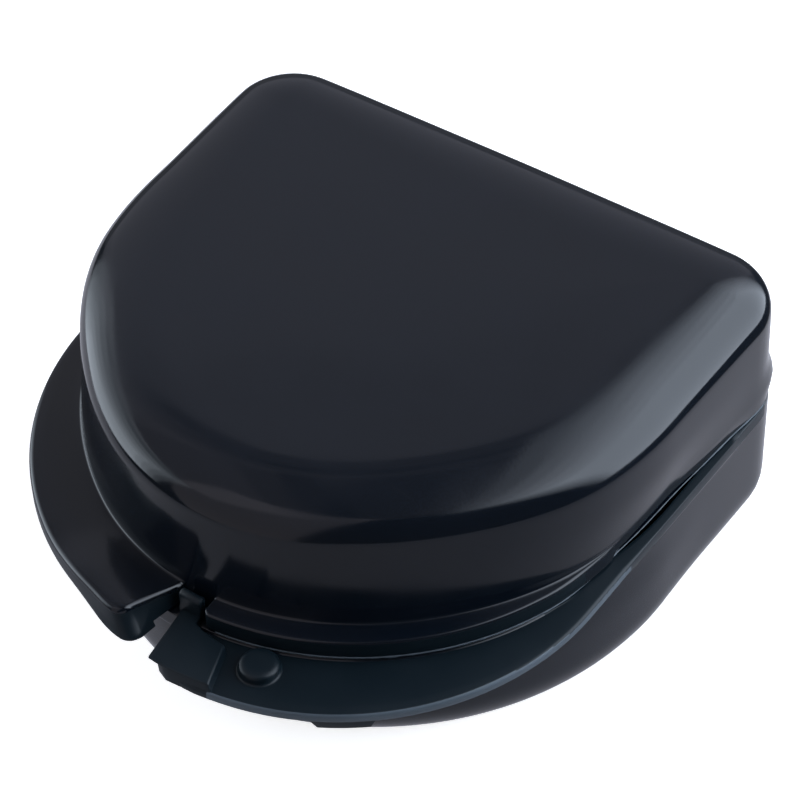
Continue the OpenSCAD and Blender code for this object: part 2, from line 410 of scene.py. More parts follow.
def ledge_section(width, end, wall_o, ledge_z, mouth_z, edge, corner, rim_w, pocket,
                  flare=0.0, hang=0.0, cant=0.0):
    """Section of a ledge from its fillet on the wall, over its top, down its face and back under it. end is the
    distance to the ledge's free end, where its top and its corner are rounded. Its foot may flare outwards and
    hang below the mouth, its top may be canted up outwards, and a pocket makes it hollow below."""
    bottom_z = mouth_z - hang
    corner = min(corner, width * 0.9)
    if end < corner:
        width -= fallen(corner, corner - end)
    room = width - wall_o
    fillet = min(FILLET_R, 0.4 * room)
    edge = min(edge, 0.45 * room)
    offsets = [wall_o + fillet * (1 - math.cos(math.radians(t))) for t in (0, 25, 45, 65, 90)]
    offsets += [wall_o + fillet + (room - fillet - edge) * k for k in (0.25, 0.5, 0.75)]
    offsets += [width - edge * (1 - math.cos(math.radians(t))) for t in (90, 70, 52, 36, 22, 10, 0)]
    section = []
    for o in offsets:
        near = min(max(min(width - o, end), 0.0), edge)
        z = ledge_z - fallen(edge, edge - near) + cant * (o - wall_o) / max(room, 0.1)
        section.append((o, z + fallen(fillet, fillet - (o - wall_o))))
    foot = min(0.12 + 0.3 * flare, 0.4)
    face_z = ledge_z - edge
    section += [(width + flare * k, face_z - (face_z - bottom_z) * k) for k in (0.35, 0.7)]
    width += flare
    section += [(width, bottom_z + foot), (width - 0.3 * foot, bottom_z + 0.3 * foot),
                (width - foot, bottom_z)]
    depth = 0.0
    outer, inner = width - SKIRT_T, rim_w
    if pocket and end > SKIRT_T + 0.01 and outer - inner > 0.05:
        depth = (LEDGE_H - PLATE_T) * ramp(outer - inner, 0, 0.6)
    if depth == 0.0:
        outer, inner = (width - foot - k * (width - foot - wall_o) for k in (0.25, 0.75))
    pocket_z = mouth_z + depth
    soft = 0.1 if depth else 0.0
    section += [(outer, bottom_z), (outer, bottom_z + (pocket_z - bottom_z) * 0.8),
                (outer - soft, pocket_z), (inner + soft, pocket_z),
                (inner, mouth_z + depth * 0.8), (inner, mouth_z)]
    return section


# Points that ledge_section gives on its top, face, foot and underside. A wall without a ledge has as many
LEDGE_POINTS = 15 + 2 + 3 + 6


# ---------------------------------------- the lid

shoulder = shoulder_points()


def lid_profile(s, side, point, out):
    x, y = point
    ledge_top = LID_Z + LEDGE_H
    start_z = ledge_top + ABOVE_LEDGE

    def wall(z):
        h = z - LID_Z
        shift = back_bulge(point) - side_bow(point)
        return shift - wall_lean(out) * h - lid_foot(point, h) + corner_lip(out, h)

    narrow = 1 - 0.17 * corner_share(point)
    round_w, round_h = -shoulder[0][0] * narrow, shoulder[0][1]
    round_z = TOP_Z - ROOF_CROWN - round_h
    section = [(wall(round_z) + o * narrow, round_z + z) for o, z in shoulder]
    section += [(wall(z), z) for z in np.linspace(round_z, start_z, 9)[1:]]
    first = len(section) - 1
    on_flange = side == -1 if s == lid_marks[0] else s < lid_marks[0]
    on_rim = side == 1 if s == lid_marks[1] else s > lid_marks[1]
    foot_o = wall(ledge_top)
    rim_w = rim_reach(point, out, foot_o)
    width = 0.0
    if on_flange:
        width = foot_o + (max(reach(point, out, lid_flange_edge), rim_w) - foot_o) * ramp(y, 12, 2)
        end = FLANGE_END_X - x
        # Towards its free end the flange's skirt flares, hangs lower and its plate is canted
        ledge = dict(edge=0.7, corner=1.9, pocket=True, flare=0.9 * ramp(x, -10.5, -3.5),
                     hang=0.7 * ramp(x, -12, -5), cant=0.5 * ramp(x, -15, -9))
    elif on_rim:
        width = rim_w
        end = x - RIM_START_X
        ledge = dict(edge=0.3, corner=1.1, pocket=False)
    if (on_flange or on_rim) and y <= 12 and width > foot_o + 0.06:
        end = max(end, 0.0) if y < FRONT_Y else FAR
        section += ledge_section(width, end, foot_o, ledge_top, LID_Z, rim_w=rim_w, **ledge)
    else:
        foot = 0.12
        section += [(wall(z), z) for z in np.linspace(start_z, LID_Z + foot, LEDGE_POINTS - 1)[1:]]
        section += [(wall(LID_Z) - 0.3 * foot, LID_Z + 0.3 * foot), (wall(LID_Z) - foot, LID_Z)]
    # A row down the middle of the mouth's flat
    section += [(-1.0, LID_Z)]
    last = len(section) - 1
    section += inner_wall(wall, LID_Z, round_z, wall(round_z) - round_w, round_w, round_h + ROOF_CROWN)
    return section, (first, last)


lid_marks = [dome_line.s_at_x(FLANGE_END_X), dome_line.s_at_x(RIM_START_X)]
lid_moulding = shell_mesh("lid_moulding", dome_line, lid_marks, lid_profile, 1, ROOF_CROWN, 3.0)


# ---------------------------------------- the base

def flange_points(rim_w, extra, low, top, groove, end, y):
    """The base flange from its lower fillet, round its edge and back along its top to the groove beside the
    rim. Its free end is rounded as its edge is."""
    r = min(0.42, 0.4 * extra)
    f = min(0.2, 0.3 * extra)
    drop = fallen(r, r - end) if y < FRONT_Y and end < r else 0.0
    points = [(rim_w, low + f), (rim_w + 0.3 * f, low + 0.3 * f), (rim_w + f, low)]
    points += [(rim_w + f + (extra - f - r) * k, low) for k in (0.3, 0.65)]
    points += arc_points(rim_w + extra - r, low - r, r, r, 90, 0, 5)
    points += [(o, h + drop) for o, h in arc_points(rim_w + extra - r, top + r, r, -r, 0, 90, 6)]
    points += [(rim_w + (extra - r) * k, top + drop) for k in (0.8, 0.6, 0.4, 0.2)]
    points += [(rim_w + groove, top + drop), (rim_w, top + (0.6 * drop if drop else -0.8 * groove))]
    return points


def base_profile(s, side, point, out):
    """As the lid's, with heights measured down from the mouth and then turned over."""
    y = point[1]

    def wall(h):
        belly = 0.34 * ramp(y, 16, 2) * ramp(h, 1.5, 8.5)
        return 0.5 * back_bulge(point) - side_bow(point) + belly

    round_h = BASE_H - BASE_ROUND[1]
    edge_o = wall(round_h) - BASE_ROUND[0]
    section = arc_points(edge_o, round_h, *BASE_ROUND, 90, 0, 17)
    section += [(wall(h), h) for h in np.linspace(round_h, LEDGE_H + ABOVE_LEDGE, 9)[1:]]
    first = len(section) - 1
    rim_w = max(reach(point, out, rim_edge), wall(1.0)) if y < 12 else wall(1.0)
    on_flange = side == 1 if s == base_marks[0] else s > base_marks[0]
    flange_w = max(reach(point, out, base_flange_edge), rim_w) if on_flange else rim_w
    if y > 20:
        flange_w = rim_w + (flange_w - rim_w) * ramp(y, 28, 20)
    has_rim = rim_w > wall(1.0) + 0.06
    base_o = wall(LEDGE_H)
    fillet = min(FILLET_R, 0.4 * (rim_w - base_o)) if has_rim else 0.0
    under = LEDGE_H if has_rim else LEDGE_H - 0.2
    for t in (0, 30, 60, 90):
        c, d = math.cos(math.radians(t)), math.sin(math.radians(t))
        section.append((base_o + fillet * (1 - c), under + fillet * (1 - d)))
    edge = min(0.25, 0.3 * max(rim_w - base_o, 0))
    span = max(rim_w - edge - base_o - fillet, 0)
    section += [(base_o + fillet + span * k, under) for k in (0.33, 0.66, 1.0)]
    section += [(rim_w - 0.3 * edge, under - 0.3 * edge), (rim_w, under - edge)]
    top = FLANGE_DROP * ramp(y, -9, -18)
    end = point[0] if on_flange else FAR
    corner = 6.2
    if y < FRONT_Y and end < corner and flange_w - rim_w > 2:
        flange_w -= fallen(corner, corner - end)
    groove = 0.12
    if on_flange and flange_w - rim_w > 0.05:
        groove = min(groove, top)
        section += flange_points(rim_w, flange_w - rim_w, FLANGE_DROP + PLATE_T, top, groove, end, y)
    else:
        section += [(rim_w, h) for h in np.linspace(under - edge - 0.1, 0.2, 22)]
    section += [(rim_w, groove), (rim_w - 0.4 * groove, 0.3 * groove), (rim_w - 1.1 * groove, 0.0)]
    section += [(-0.9, 0.0)]
    last = len(section) - 1
    section += inner_wall(wall, 0.0, round_h, edge_o, *BASE_ROUND)
    return [(o, BASE_H - h) for o, h in section], (first, last)


base_marks = [0.0]
base_moulding = shell_mesh("base_moulding", base_dome_line, base_marks, base_profile, -1, 0.0, 7.0)


# ---------------------------------------- small moulded parts

def prism(name, low, high, z_low, z_high, bevel):
    """A block between two outlines of as many points. Its corners and the second outline's edges are rounded."""
    bm = bmesh.new()
    bottom = [bm.verts.new((x * MM, y * MM, z_low * MM)) for x, y in low]
    top = [bm.verts.new((x * MM, y * MM, z_high * MM)) for x, y in high]
    bm.faces.new(top)
    bm.faces.new(bottom[::-1])
    for i in range(len(low)):
        j = (i + 1) % len(low)
        bm.faces.new((bottom[i], bottom[j], top[j], top[i]))
    bmesh.ops.recalc_face_normals(bm, faces=bm.faces)
    rounded = []
    for e in bm.edges:
        heights = {round(v.co.z / MM, 4) for v in e.verts}
        if heights == {round(z_high, 4)} or len(heights) == 2 and e.calc_face_angle(0) > 0.6:
            rounded.append(e)
    bmesh.ops.bevel(bm, geom=rounded, offset=bevel * MM, segments=4, affect="EDGES", profile=0.5,
                    clamp_overlap=True)
    return finish_mesh(bm, name)


def edge_run(line, x0, x1, inset, count):
    """Points of an outline's front between two x values, moved in by inset."""
    front = line[line[:, 1] < -10]
    return [(x, np.interp(x, front[:, 0], front[:, 1]) + inset) for x in np.linspace(x0, x1, count)]


def finger_pad_plans():
    """Plans of the pad's foot and its top. Its right side slopes, and its left part runs back to the wall."""
    root = [(3.6, -37.3), (2.25, -36.9), (2.2, -34.4)]
    front_low = [(-0.15, -40.5), (0.7, -42.2), (1.8, -43.3)] + edge_run(base_flange_edge, 3.2, 9.3, 0.2, 9)
    front_high = edge_run(base_flange_edge, 0.75, 8.7, 0.3, 12)
    back_low = [(7.4, -37.6), (5.8, -37.65)] + root + [(-0.8, -34.4)]
    back_high = [(6.8, -37.7), (5.4, -37.6)] + root + [(-0.55, -34.4)]
    return front_low + back_low, front_high + back_high


pad_low, pad_high = finger_pad_plans()
base_pad = prism("base_finger_pad", pad_low, pad_high, BASE_H - 1.3, BASE_H + 0.95, 0.22)


def lathe(name, profile, axis="Z", at=(0, 0, 0)):
    """A closed turned shape from (radius, height) points that start and end on its axis."""
    bm = bmesh.new()
    turns = [2 * math.pi * i / 64 for i in range(64)]
    rings = []
    for r, h in profile:
        around = turns if r else turns[:1]
        rings.append([bm.verts.new((r * math.cos(t) * MM, r * math.sin(t) * MM, h * MM)) for t in around])
    join_rings(bm, rings)
    turn = Matrix.Rotation(math.pi / 2, 4, "Y") if axis == "X" else Matrix.Identity(4)
    bmesh.ops.transform(bm, matrix=Matrix.Translation(Vector(at) * MM) @ turn, verts=bm.verts)
    return finish_mesh(bm, name)


FLANGE_Z = BASE_H - FLANGE_DROP
STUD_PROFILE = [(0, -0.4), (2.62, -0.4), (2.62, 0.02), (2.5, 0.05), (2.4, 0.14), (2.36, 0.3), (2.33, 0.72),
                (2.29, 0.9), (2.2, 1.05), (2.05, 1.16), (1.85, 1.23), (1.6, 1.27), (1.3, 1.28), (0.9, 1.27),
                (0.5, 1.25), (0, 1.24)]
stud = lathe("flange_stud", STUD_PROFILE, at=(11.5, -37.6, FLANGE_Z))

# The lug hangs from the flange's underside, and is a little smaller at its foot
lug_front = edge_run(base_flange_edge, 19.6, 26.0, 0.1, 8)
lug_foot = edge_run(base_flange_edge, 20.4, 25.3, 0.25, 8)
lug_plan = lug_front + [(x - 0.9, y + 1.9) for x, y in lug_front[::-1]]
lug_foot_plan = lug_foot + [(x - 0.7, y + 1.5) for x, y in lug_foot[::-1]]
lug = prism("flange_lug", lug_plan, lug_foot_plan, FLANGE_Z - PLATE_T + 0.4, FLANGE_Z - PLATE_T - 1.1, 0.15)


def latch_tongue_mesh():
    """The tongue's side view, swept across its width. It stands on the pad and hooks towards the lid."""
    mid_y = NOSE_Y - 1.1
    tip_r = 0.62
    side = [(-0.75, -1.2), (-0.72, 0.9), (-0.62, 1.6), (-0.6, 2.7)]
    side += [(0.02 - tip_r * math.cos(t), 2.75 + tip_r * math.sin(t)) for t in np.linspace(0.2, 2.2, 9)]
    side += [(0.58, 2.95), (0.62, 2.7), (0.45, 2.3), (0.4, 1.2), (0.6, 0.6), (0.6, -1.2)]
    side = np.array([(mid_y + y, BASE_H + z) for y, z in side])
    middle = side.mean(axis=0)
    x0, x1, edge = -0.78, 2.18, 0.2
    bm = bmesh.new()
    rings = []
    for x, shrink in ((x0, edge), (x0 + 0.06, edge * 0.35), (x0 + edge, 0), (x1 - edge, 0),
                      (x1 - 0.06, edge * 0.35), (x1, edge)):
        ring = []
        for place in side:
            pull = middle - place
            y, z = place + pull / np.linalg.norm(pull) * shrink
            ring.append(bm.verts.new((x * MM, y * MM, z * MM)))
        rings.append(ring)
    join_rings(bm, rings)
    bm.faces.new(rings[0][::-1])
    bm.faces.new(rings[-1])
    return finish_mesh(bm, "latch_tongue")


tongue = latch_tongue_mesh()


# ---------------------------------------- hinges

def knuckle_radii(turns):
    """The outer radius of a knuckle at each turn: a barrel, with the web that joins it to its wall."""
    wall_y = BACK_Y - HINGE_Y - 0.9
    web = [(0, 0), (0, KNUCKLE_R), (wall_y, 5.0), (wall_y, 0.2)]
    radii = []
    for t in turns:
        dy, dz = math.cos(t), math.sin(t)
        far = KNUCKLE_R
        for (ay, az), (by, bz) in zip(web, web[1:] + web[:1]):
            ey, ez = by - ay, bz - az
            det = dy * ez - dz * ey
            if abs(det) > 1e-9 and -1e-6 <= (ay * dz - az * dy) / det <= 1 + 1e-6:
                far = max(far, (ay * ez - az * ey) / det)
        radii.append(far)
    return radii


def knuckle_mesh(name, up):
    """One knuckle with its web, centred on x = 0. up is 1 for the lid and -1 for the base."""
    turns = [2 * math.pi * k / 72 for k in range(72)]
    radii = knuckle_radii(turns)
    half = KNUCKLE_W / 2
    bore = PIN_R + 0.03
    # Half of the rings: the place along the hinge, and a bore's radius or how far inside the surface it lies
    rows = [(half - 0.12, bore, None), (half, bore + 0.12, None), (half, None, 0.28),
            (half - 0.08, None, 0.08), (half - 0.28, None, 0)]
    rows = [(-x, r, less) for x, r, less in rows] + rows[::-1]
    bm = bmesh.new()
    rings = []
    for x, r, less in rows:
        ring = []
        for t, outside in zip(turns, radii):
            size = outside - less if r is None else r
            ring.append(bm.verts.new((x * MM, (HINGE_Y + size * math.cos(t)) * MM,
                                      (PARTING_Z + up * size * math.sin(t)) * MM)))
        rings.append(ring)
    join_rings(bm, rings + rings[:1])
    return finish_mesh(bm, name)


# ---------------------------------------- materials

def linear(hex_colour):
    """Turns an sRGB hex colour into linear values."""
    values = [int(hex_colour[i:i + 2], 16) / 255 for i in (1, 3, 5)]
    return [v / 12.92 if v <= 0.04045 else ((v + 0.055) / 1.055) ** 2.4 for v in values] + [1.0]


def add(tree, kind, settings=None, **links):
    """Adds a node with its settings, and sets or links its inputs by name or by number. A node given for an
    input stands for its first output."""
    node = tree.nodes.new(kind)
    for key, value in (settings or {}).items():
        setattr(node, key, value)
    for key, value in links.items():
        name = key.replace("_", " ")
        socket = node.inputs[int(key[1:])] if key[0] == "n" and key[1:].isdigit() else node.inputs[name]
        if isinstance(value, bpy.types.Node):
            value = value.outputs[0]
        if isinstance(value, bpy.types.NodeSocket):
            tree.links.new(value, socket)
        else:
            socket.default_value = value
    return node


def per(size):
    """Scale of a texture whose features are size millimetres apart."""
    return 1 / (size * MM)


def new_material(name):
    material = bpy.data.materials.new(name)
    material.use_nodes = True
    tree = material.node_tree
    tree.nodes.clear()
    return material, tree


def moulded_polypropylene(name, colour, patch, rough, shine):
    """Injection-moulded polypropylene, blue black. It shows a smooth skin with fine grain, duller patches
    rubbed by use, and hairline scratches from handling."""
    material, tree = new_material(name)
    place = add(tree, "ShaderNodeTexCoord").outputs["Object"]
    patches = add(tree, "ShaderNodeTexNoise", Vector=place, Scale=per(13.3), Detail=4.0, Roughness=0.6)
    tint = add(tree, "ShaderNodeMix", {"data_type": "RGBA"}, n0=patches, n6=linear(colour),
               n7=linear(patch))
    # The mould's grain, coarser than the real 0.05 mm so that it shows
    grain = add(tree, "ShaderNodeTexNoise", Vector=place, Scale=per(0.385), Detail=2.0, Roughness=0.5)
    # Hairline scratches in two directions. Real ones are finer, and these are 0.1 mm wide so that they show
    turned = add(tree, "ShaderNodeMapping", Vector=place, Rotation=(0.2, 0.1, 0.6),
                 Scale=(per(16.7), per(0.526), per(2.5)))
    hairs = add(tree, "ShaderNodeTexNoise", Vector=turned, Scale=1.0, Detail=2.0)
    crossed = add(tree, "ShaderNodeMapping", Vector=place, Rotation=(0.1, 0.3, -0.9),
                  Scale=(per(20), per(0.625), per(3.33)))
    more_hairs = add(tree, "ShaderNodeTexNoise", Vector=crossed, Scale=1.0, Detail=2.0)
    lines = add(tree, "ShaderNodeMath", {"operation": "MAXIMUM"}, n0=hairs, n1=more_hairs)
    marks = add(tree, "ShaderNodeMapRange", Value=lines, From_Min=0.72, From_Max=0.85,
                To_Min=0.0, To_Max=1.0)
    rubbed = add(tree, "ShaderNodeMapRange", Value=patches, From_Min=0.35, From_Max=0.7,
                 To_Min=rough - 0.04, To_Max=rough + 0.08)
    roughness = add(tree, "ShaderNodeMath", {"operation": "MULTIPLY_ADD"}, n0=marks, n1=0.12, n2=rubbed)
    height = add(tree, "ShaderNodeMath", {"operation": "MULTIPLY_ADD"}, n0=marks, n1=-0.5, n2=grain)
    bump = add(tree, "ShaderNodeBump", Strength=0.05, Distance=0.05 * MM, Height=height)
    shader = add(tree, "ShaderNodeBsdfPrincipled", Base_Color=tint.outputs[2],
                 Roughness=roughness, IOR=1.49, Specular_IOR_Level=shine,
                 Normal=bump)
    add(tree, "ShaderNodeOutputMaterial", Surface=shader)
    return material


def drawn_steel_wire():
    """Drawn steel wire, which shows fine lines along its length and a slight tarnish."""
    material, tree = new_material("drawn_steel_wire")
    place = add(tree, "ShaderNodeTexCoord").outputs["Object"]
    # The die's lines are finer than these, which are coarse enough to show
    stretched = add(tree, "ShaderNodeMapping", Vector=place, Scale=(per(8.33), per(0.192), per(0.192)))
    draw_lines = add(tree, "ShaderNodeTexNoise", Vector=stretched, Scale=1.0, Detail=3.0)
    tarnish = add(tree, "ShaderNodeTexNoise", Vector=place, Scale=per(1.11), Detail=3.0)
    tint = add(tree, "ShaderNodeMix", {"data_type": "RGBA"}, n0=tarnish, n6=linear("#a9abae"),
               n7=linear("#84837f"))
    dull = add(tree, "ShaderNodeMapRange", Value=draw_lines, To_Min=0.25, To_Max=0.45)
    bump = add(tree, "ShaderNodeBump", Strength=0.2, Distance=0.02 * MM, Height=draw_lines)
    shader = add(tree, "ShaderNodeBsdfPrincipled", Base_Color=tint.outputs[2], Metallic=1.0,
                 Roughness=dull, Normal=bump)
    add(tree, "ShaderNodeOutputMaterial", Surface=shader)
    return material


case_plastic = moulded_polypropylene("glossy_polypropylene", "#080e15", "#0b121b", rough=0.11, shine=0.5)
satin_plastic = moulded_polypropylene("satin_polypropylene", "#0b161c", "#101c23", rough=0.36, shine=0.3)
# Where the moulding was trimmed, the cut edge is rough and paler. The paler colour is partly real and partly a
# painted highlight, standing in for the light that the flange's rounded edge and the parting bead catch
flash_and_painted_highlight_plastic = moulded_polypropylene("trimmed_flash_and_painted_highlight", "#3a444c", "#525d66", rough=0.45, shine=0.5)
pin_steel = drawn_steel_wire()


# ---------------------------------------- what follows a path or repeats

def geometry_tree(name, inputs):
    """An empty geometry tree with one geometry output and the named inputs."""
    tree = bpy.data.node_groups.new(name, "GeometryNodeTree")
    tree.interface.new_socket("Geometry", in_out="INPUT", socket_type="NodeSocketGeometry")
    for label, kind, value in inputs:
        socket = tree.interface.new_socket(label, in_out="INPUT", socket_type=kind)
        socket.default_value = value
    tree.interface.new_socket("Geometry", in_out="OUTPUT", socket_type="NodeSocketGeometry")
    return tree, tree.nodes.new("NodeGroupInput"), tree.nodes.new("NodeGroupOutput")


def baked(obj, tree, values, name):
    """Runs a geometry tree on an object and keeps the result as a plain mesh."""
    modifier = obj.modifiers.new("tree", "NODES")
    modifier.node_group = tree
    sockets = {item.name: item.identifier for item in tree.interface.items_tree if item.in_out == "INPUT"}
    for label, value in values.items():
        modifier[sockets[label]] = value
    bpy.context.view_layer.update()
    mesh = bpy.data.meshes.new_from_object(obj.evaluated_get(bpy.context.evaluated_depsgraph_get()))
    obj.modifiers.remove(modifier)
    bpy.data.objects.remove(obj)
    mesh.name = name
    return placed(name, mesh)


def knuckle_row(name, up, offsets):
    """Repeats a knuckle in both hinges, at offsets from a hinge's middle that are counted in pitches."""
    knuckle = knuckle_mesh(name + "_one", up)
    tree, given, result = geometry_tree(name + "_row", [("Knuckle material", "NodeSocketMaterial", None)])
    centres = [(hinge * HINGE_SPAN / 2 + k * KNUCKLE_PITCH) * MM for hinge in (-1, 1) for k in offsets]
    places = bpy.data.meshes.new(name + "_places")
    places.from_pydata([(x, 0, 0) for x in centres], [], [])
    carrier = placed(name + "_carrier", places)
    source = add(tree, "GeometryNodeObjectInfo", Object=knuckle)
    spots = add(tree, "GeometryNodeMeshToPoints", Mesh=given.outputs["Geometry"])
    copies = add(tree, "GeometryNodeInstanceOnPoints", Points=spots, Instance=source.outputs["Geometry"])
    real = add(tree, "GeometryNodeRealizeInstances", Geometry=copies)
    painted = add(tree, "GeometryNodeSetMaterial", Geometry=real,
                  Material=given.outputs["Knuckle material"])
    tree.links.new(painted.outputs["Geometry"], result.inputs["Geometry"])
    row = baked(carrier, tree, {"Knuckle material": case_plastic}, name)
    bpy.data.objects.remove(knuckle)
    return row


lid_knuckles = knuckle_row("lid_hinge_knuckles", 1, (0,))
base_knuckles = knuckle_row("base_hinge_knuckles", -1, (-1, 1))


def flash_bead(name, points, z, width, ragged, seed):
    """The thin ragged bead that a worn mould leaves where its halves meet, along a path of points."""
    tree, given, result = geometry_tree(name + "_tree", [
        ("Bead width", "NodeSocketFloat", width), ("Raggedness", "NodeSocketFloat", ragged),
        ("Seed", "NodeSocketFloat", seed), ("Bead material", "NodeSocketMaterial", None)])
    mesh = bpy.data.meshes.new(name + "_path")
    steps = [(i, i + 1) for i in range(len(points) - 1)]
    mesh.from_pydata([(x * MM, y * MM, z * MM) for x, y in points], steps, [])
    path = placed(name + "_path", mesh)
    line = add(tree, "GeometryNodeMeshToCurve", Mesh=given.outputs["Geometry"])
    fine = add(tree, "GeometryNodeResampleCurve", {"mode": "LENGTH"}, Curve=line, Length=0.3 * MM)
    where = add(tree, "GeometryNodeInputPosition")
    rough = add(tree, "ShaderNodeTexNoise", {"noise_dimensions": "4D"}, Vector=where,
                W=given.outputs["Seed"], Scale=per(1 / 0.9), Detail=2.0)
    spread = add(tree, "ShaderNodeMath", {"operation": "SUBTRACT"}, n0=rough, n1=0.45)
    swing = add(tree, "ShaderNodeMath", {"operation": "MULTIPLY"}, n0=spread,
                n1=given.outputs["Raggedness"])
    size = add(tree, "ShaderNodeMath", {"operation": "ADD"}, n0=swing, n1=given.outputs["Bead width"])
    kept = add(tree, "ShaderNodeMath", {"operation": "MAXIMUM"}, n0=size, n1=0.02 * MM)
    section = add(tree, "GeometryNodeCurvePrimitiveCircle", Resolution=8, Radius=1.0)
    tube = add(tree, "GeometryNodeCurveToMesh", Curve=fine, Profile_Curve=section, Fill_Caps=True, Scale=kept)
    real = add(tree, "GeometryNodeRealizeInstances", Geometry=tube)
    painted = add(tree, "GeometryNodeSetMaterial", Geometry=real, Material=given.outputs["Bead material"])
    tree.links.new(painted.outputs["Geometry"], result.inputs["Geometry"])
    return baked(path, tree, {"Bead width": width, "Raggedness": ragged, "Seed": seed,
                              "Bead material": flash_and_painted_highlight_plastic}, name)


def mouth_path():
    """Just inside the lid's mouth edge, from the start of its rim round the right side to the rear corner."""
    start, stop, inset = lid_marks[1] + 1.4, dome_line.half - 31, 0.06
    points = []
    for s in np.arange(start, stop, 0.6):
        point, out = dome_line.at(s)
        edge = rim_reach(point, out, -lid_foot(point, 0) - side_bow(point))
        points.append(tuple(point + (edge - inset) * out))
    return points


# The bead gets the pale finish, which is partly real flash and partly a painted highlight along the parting line
flash = flash_bead("parting_flash", mouth_path(), LID_Z - 0.05, width=0.13 * MM, ragged=0.2 * MM, seed=4.0)


def pin_profile():
    """A straight pin with rounded ends, about its middle."""
    half = PIN_LEN / 2
    end = [(0, 0.02), (0.5, 0.03), (0.8, 0.1), (0.95, 0.22), (PIN_R, 0.4)]
    return [(r, inset - half) for r, inset in end] + [(r, half - inset) for r, inset in end[::-1]]


pins = [lathe("hinge_wire_" + label, pin_profile(), axis="X", at=(x, HINGE_Y, PARTING_Z))
        for label, x in (("left", -HINGE_SPAN / 2), ("right", HINGE_SPAN / 2))]


# ---------------------------------------- dressing the bodies

def paint(piece, chosen, material):
    """Gives a second finish to the faces whose middle, in millimetres, is chosen."""
    piece.data.materials.append(material)
    last = len(piece.data.materials) - 1
    for face in piece.data.polygons:
        if chosen(*(v / MM for v in face.center)):
            face.material_index = last


def past(line, x, y):
    """How far a place lies outside an outline, measured along a ray from a spot near the case's middle."""
    spot_y = -2
    angles = np.arctan2(line[:, 1] - spot_y, line[:, 0])
    radii = np.hypot(line[:, 0], line[:, 1] - spot_y)
    order = np.argsort(angles)
    edge = np.interp(math.atan2(y - spot_y, abs(x)), angles[order], radii[order])
    return math.hypot(x, y - spot_y) - float(edge)


dome_edge = dome_line.line()


def on_base_flange(x, y, z):
    """The flat of the base's finger flange, which the mould left satin."""
    beyond = past(rim_edge, x, y) > 0.1 or (y > -14 and past(dome_edge, x, y) > -1.7)
    return x > -0.1 and y < 28 and z > BASE_H - 1.7 and beyond


def on_flange_edge_painted_highlight(x, y, z):
    """The flange's outer edge, trimmed and scuffed from the pad to where it thins out at the side. Its paler
    finish there is partly a painted highlight of the rounded edge.
    """
    inset = 0.3 - 0.4 * ramp(y, -12, 2)
    return x > 9 and y < 3 and BASE_H - 1.5 < z < BASE_H - 0.3 and past(base_flange_edge, x, y) > -inset


def on_ledge_face(x, y, z):
    """The upright faces of the lid's flange and rim."""
    return y < 4 and z < LID_Z + 2.0 and past(dome_edge, x, y) > 0.3


for piece in (lid_moulding, base_moulding):
    piece.data.materials.append(case_plastic)
for piece in (base_pad, stud, lug, tongue):
    piece.data.materials.append(satin_plastic)
paint(base_moulding, on_base_flange, satin_plastic)
# Painted highlight: the flange's outer edge gets the pale finish where its rounded edge catches light
paint(base_moulding, on_flange_edge_painted_highlight, flash_and_painted_highlight_plastic)
paint(lid_moulding, on_ledge_face, satin_plastic)
for piece in pins:
    piece.data.materials.append(pin_steel)

for piece in (lid_moulding, lid_knuckles, flash):
    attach(piece, "lid")
for piece in (base_moulding, base_pad, stud, lug, tongue, base_knuckles):
    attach(piece, "base")
for piece, node in zip(pins, ("hinge_pin_left", "hinge_pin_right")):
    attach(piece, "base")
    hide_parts(node)
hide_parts("lid_shell")
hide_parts("base_shell")


# ---------------------------------------- floor, light and camera

